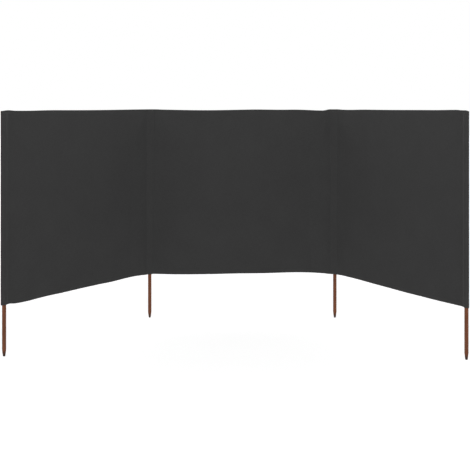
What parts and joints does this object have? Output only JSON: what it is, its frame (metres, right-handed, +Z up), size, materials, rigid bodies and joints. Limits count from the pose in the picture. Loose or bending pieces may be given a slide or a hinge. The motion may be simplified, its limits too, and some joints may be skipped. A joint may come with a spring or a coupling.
{
  "type": "beach windbreak",
  "caption": "Fabric windbreak of joined bays on pointed wooden stakes held in sewn sleeves; the side bays fold about the inner stakes.",
  "frame": {"origin": "centre of the flat end of the inner left stake's point", "axes": "+X along the centre bay from the inner left stake to the inner right stake, +Z up along the stakes, -Y towards the front, to which both side bays are swung"},
  "size_m": [2.8347, 1.1835, 1.502],
  "materials": {
    "stained_pine": "satin",
    "woven_polyester": "matte"
  },
  "bodies": {
    "centre_bay": {"stake_left_inner": "stained_pine", "stake_right_inner": "stained_pine", "sleeve_left_inner": "woven_polyester", "sleeve_right_inner": "woven_polyester", "sleeve_top_left_inner": "woven_polyester", "sleeve_top_right_inner": "woven_polyester", "panel_centre": "woven_polyester", "top_hem_centre": "woven_polyester", "bottom_hem_centre": "woven_polyester"},
    "left_bay": {"panel_left": "woven_polyester", "top_hem_left": "woven_polyester", "bottom_hem_left": "woven_polyester", "sleeve_left_outer": "woven_polyester", "sleeve_top_left_outer": "woven_polyester", "stake_left_outer": "stained_pine"},
    "right_bay": {"panel_right": "woven_polyester", "top_hem_right": "woven_polyester", "bottom_hem_right": "woven_polyester", "sleeve_right_outer": "woven_polyester", "sleeve_top_right_outer": "woven_polyester", "stake_right_outer": "stained_pine"}
  },
  "joints": [
    {"name": "left_fold", "type": "hinge", "parent": "centre_bay", "child": "left_bay", "pos_m": [0, 0, 0], "axis": [0, 0, 1], "range_deg": [-168.5, 61.5]},
    {"name": "right_fold", "type": "hinge", "parent": "centre_bay", "child": "right_bay", "pos_m": [1.336, 0, 0], "axis": [0, 0, -1], "range_deg": [-174.7, 55.3]}
  ]
}
